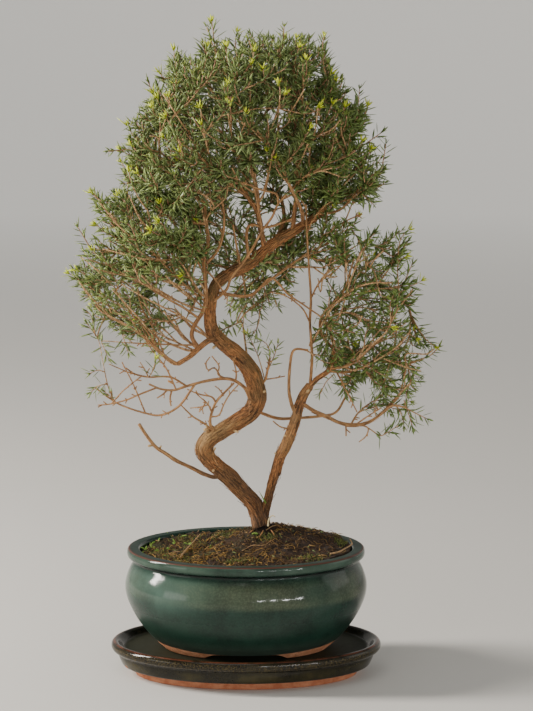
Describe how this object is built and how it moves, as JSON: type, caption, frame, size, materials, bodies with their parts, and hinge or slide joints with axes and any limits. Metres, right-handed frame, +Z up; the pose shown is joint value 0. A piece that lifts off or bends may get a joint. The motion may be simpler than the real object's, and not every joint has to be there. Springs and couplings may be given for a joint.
{
  "type": "manuka bonsai",
  "caption": "Two-stemmed manuka bonsai with fine leafy sprays, in an oval green glazed pot on an oval olive-brown glazed saucer.",
  "frame": {"origin": "on the standing surface, under the middle of the part's box", "axes": "+X to the viewer's right along the pot's length, +Y away from the viewer, +Z up"},
  "size_m": [0.377, 0.2116, 0.6508],
  "materials": {
    "saucer_glaze": "glossy olive-brown glaze over terracotta, bare foot band",
    "pot_glaze": "glossy mottled green glaze over terracotta, bare feet",
    "net": "moulded plastic net",
    "soil": "coarse potting mix with dry moss strands",
    "bark": "stringy fibrous bark",
    "leaf": "small satin leaves on thin shoots"
  },
  "bodies": {
    "root": {"saucer": "saucer_glaze", "pot": "pot_glaze", "drain_screen_left": "net", "drain_screen_right": "net", "soil": "soil", "tree_wood": "bark", "spray_01": "leaf", "spray_02": "leaf", "spray_03": "leaf", "spray_04": "leaf", "spray_05": "leaf", "spray_06": "leaf", "spray_07": "leaf", "spray_08": "leaf", "spray_09": "leaf", "spray_10": "leaf", "spray_11": "leaf", "spray_12": "leaf", "spray_13": "leaf", "spray_14": "leaf", "spray_15": "leaf", "spray_16": "leaf", "spray_17": "leaf", "spray_18": "leaf", "spray_19": "leaf", "spray_20": "leaf", "spray_21": "leaf", "spray_22": "leaf", "spray_23": "leaf", "spray_24": "leaf", "spray_25": "leaf", "spray_26": "leaf", "spray_27": "leaf", "spray_28": "leaf", "spray_29": "leaf", "spray_30": "leaf", "spray_31": "leaf", "spray_32": "leaf", "spray_33": "leaf", "spray_34": "leaf", "spray_35": "leaf", "spray_36": "leaf", "spray_37": "leaf", "spray_38": "leaf", "spray_39": "leaf", "spray_40": "leaf", "spray_41": "leaf", "spray_42": "leaf", "spray_43": "leaf", "spray_44": "leaf", "spray_45": "leaf", "spray_46": "leaf", "spray_47": "leaf", "spray_48": "leaf", "spray_49": "leaf", "spray_50": "leaf", "spray_51": "leaf", "spray_52": "leaf", "spray_53": "leaf"}
  },
  "joints": []
}
